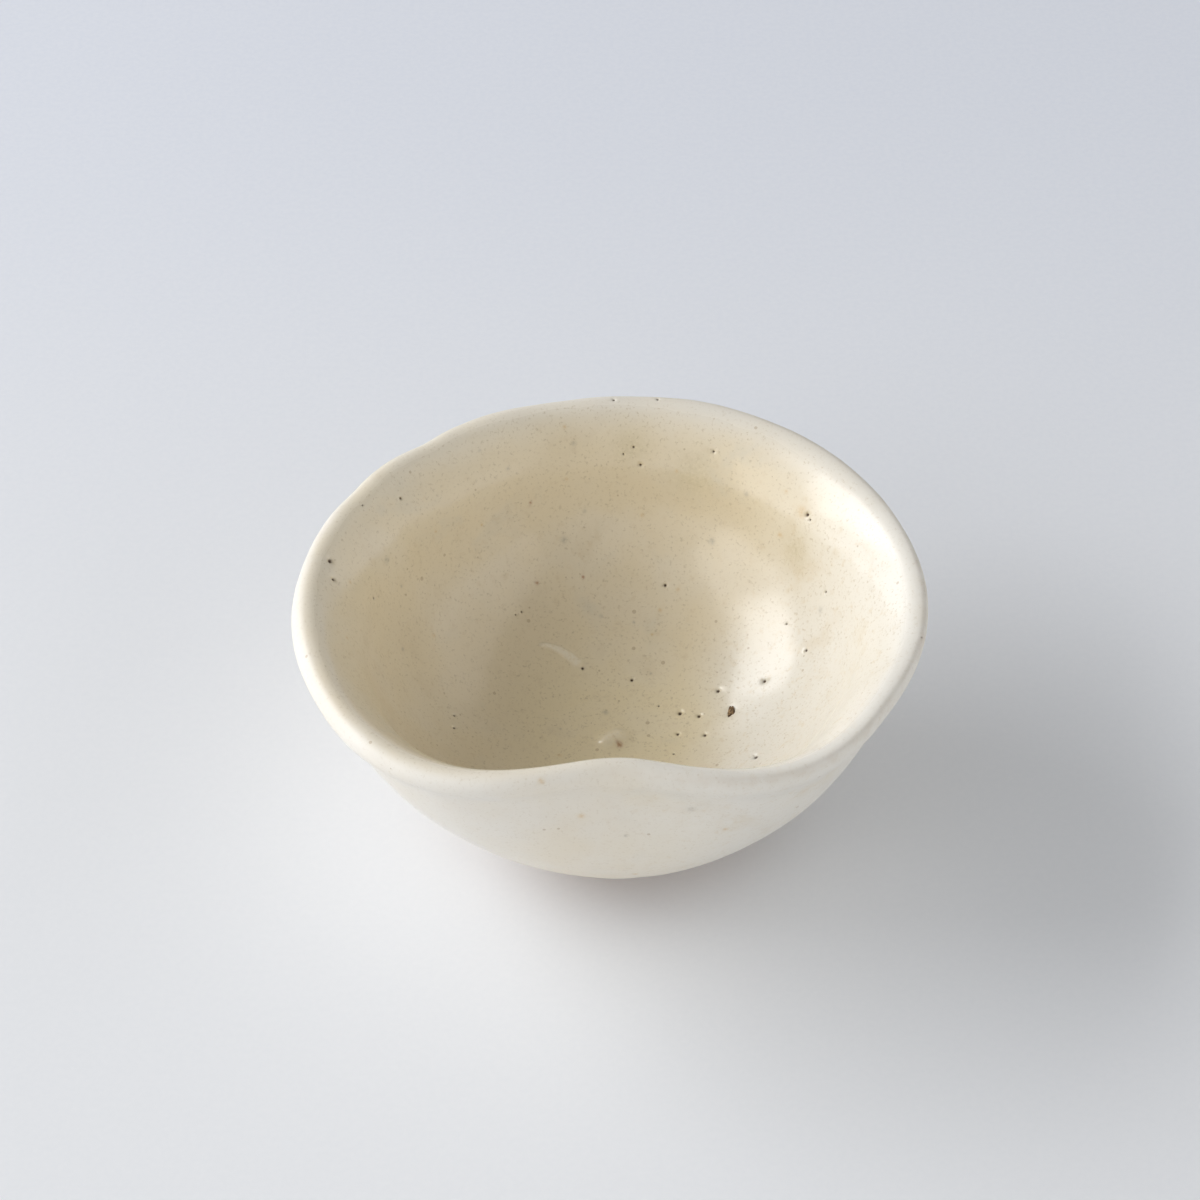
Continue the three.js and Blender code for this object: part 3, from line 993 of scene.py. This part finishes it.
def make_grain():
    """The rough iron grain that broke through the glaze low on the right."""
    reach, angle = CAMERA.seen(GRAIN_PIXEL)
    middle, normal = skin(reach, angle), skin_normal(reach, angle)
    side = np.cross(CAMERA.up, normal)
    side /= np.linalg.norm(side)
    rise = np.cross(normal, side)
    tilt = np.linspace(0.0, np.pi, GRAIN_RINGS)[1:-1, None]
    turn = np.linspace(0.0, 2 * np.pi, GRAIN_TURNS, endpoint=False)[None, :]
    rings = around_axis(np.sin(tilt), turn, np.broadcast_to(np.cos(tilt), (len(tilt), GRAIN_TURNS)))
    ball = np.concatenate([rings.reshape(-1, 3), [[0, 0, 1], [0, 0, -1]]])
    shape = ball * (1 + wobble(ball, *GRAIN_LUMPS))[:, None] * GRAIN_SIZE
    spread = shape[:, :1] * rise + shape[:, 1:2] * side + shape[:, 2:] * normal
    points = middle - GRAIN_SUNK * normal + spread
    faces = capped_faces(len(tilt), GRAIN_TURNS)
    new_piece("iron_grain", points, faces, iron_material())


def looked_at(tree):
    """1 for rays that show a thing, straight, mirrored or through glass, and 0 for rays that light one."""
    rays = node(tree, "LightPath").outputs
    turned = calculate(tree, "MAXIMUM", rays["Is Glossy Ray"], rays["Is Transmission Ray"])
    return calculate(tree, "MAXIMUM", rays["Is Camera Ray"], turned)


def table_material():
    """Pale matt table top, painted bluer and darker behind as shade, that fades into the backdrop far from
    the cup.
    """
    material, tree, shader, place = new_material("pale_table")
    front_tone = (0.835, 0.85, 0.88, 1.0)
    # Painted shade: the table's back is bluer and darker
    shaded_back_tone = (0.735, 0.765, 0.84, 1.0)
    grain_tone = (0.95, 0.95, 0.96, 1.0)
    grain = between(tree, cloud(tree, place, 0.8, 4.0, 0.6), 0.3, 0.7, 0.0, 0.12)
    to_back = node(tree, "SeparateXYZ", inputs={"Vector": place}).outputs["Y"]
    tone = blend(tree, between(tree, to_back, TABLE_FRONT, TABLE_BACK), front_tone, shaded_back_tone)
    tree.links.new(blend(tree, grain, tone, grain_tone), shader.inputs["Base Color"])
    shader.inputs["Roughness"].default_value = 0.75
    away = node(tree, "VectorMath", {"operation": "LENGTH"}, {0: place}).outputs["Value"]
    far = times(tree, looked_at(tree), between(tree, away, TABLE_FADE, TABLE_GONE))
    gone = node(tree, "BsdfTransparent").outputs[0]
    faded = node(tree, "MixShader", inputs={0: far, 1: shader.outputs[0], 2: gone})
    tree.links.new(faded.outputs[0], tree.nodes["Material Output"].inputs["Surface"])
    return material


def make_floor():
    """A plain table top."""
    mesh = bpy.data.meshes.new("floor")
    corners = [(TABLE_REACH * x, TABLE_REACH * y, 0) for x, y in ((-1, -1), (1, -1), (1, 1), (-1, 1))]
    mesh.from_pydata(corners, [], [(0, 1, 2, 3)])
    mesh.materials.append(table_material())
    floor = bpy.data.objects.new("floor", mesh)
    bpy.context.scene.collection.objects.link(floor)


def add_lamp(name, azimuth, elevation, distance, size, energy, colour):
    """A soft rectangle of light that faces the cup."""
    lamp = bpy.data.lights.new(name, "AREA")
    lamp.shape = "RECTANGLE"
    lamp.size, lamp.size_y = size
    lamp.energy = energy
    lamp.color = colour
    holder = bpy.data.objects.new(name, lamp)
    turn, rise = np.radians(azimuth), np.radians(elevation)
    way = Vector((np.cos(rise) * np.cos(turn), np.cos(rise) * np.sin(turn), np.sin(rise)))
    holder.location = distance * way
    holder.rotation_euler = way.to_track_quat("Z", "Y").to_euler()
    bpy.context.scene.collection.objects.link(holder)


def make_world():
    """A dim sky that lights the cup, and a pale backdrop to look at."""
    world = bpy.data.worlds.new("sky")
    bpy.context.scene.world = world
    world.use_nodes = True
    tree = world.node_tree
    sky = tree.nodes["Background"]
    sky.inputs["Color"].default_value = (0.94, 0.97, 1.0, 1.0)
    backdrop = node(tree, "Background", inputs={"Color": (0.78, 0.80, 0.84, 1.0)})
    shaders = {0: looked_at(tree), 1: sky.outputs[0], 2: backdrop.outputs[0]}
    mixed = node(tree, "MixShader", inputs=shaders)
    tree.links.new(mixed.outputs[0], tree.nodes["World Output"].inputs["Surface"])
    way = node(tree, "TexCoord").outputs["Generated"]
    way_up = node(tree, "SeparateXYZ", inputs={"Vector": way}).outputs["Z"]
    tree.links.new(between(tree, way_up, 0.0, 0.6, 0.4, 0.2), sky.inputs["Strength"])
    tree.links.new(between(tree, way_up, 0.15, 0.5, 1.0, 0.25), backdrop.inputs["Strength"])


def make_light():
    """A window on the left in a pale wall, a card on the right, the room in front, and the sky."""
    for name, settings in LAMPS.items():
        add_lamp(name, *settings)
    make_world()


def make_camera():
    """The photograph's camera."""
    camera = bpy.data.cameras.new("camera")
    camera.sensor_width = SENSOR
    camera.lens = PIXELS_PER_MM * CAMERA_DISTANCE / FRAME_PIXELS * SENSOR
    camera.clip_start, camera.clip_end = 0.01, 20.0
    holder = bpy.data.objects.new("camera", camera)
    holder.location = Vector(CAMERA.place * MM + AXIS)
    holder.rotation_euler = Vector(CAMERA.aim() - CAMERA.place).to_track_quat("-Z", "Y").to_euler()
    bpy.context.scene.collection.objects.link(holder)
    bpy.context.scene.camera = holder


make_camera()
make_glaze()
make_clay()
make_foot()
make_grain()
make_floor()
make_light()
bpy.context.scene.view_settings.view_transform = "Standard"
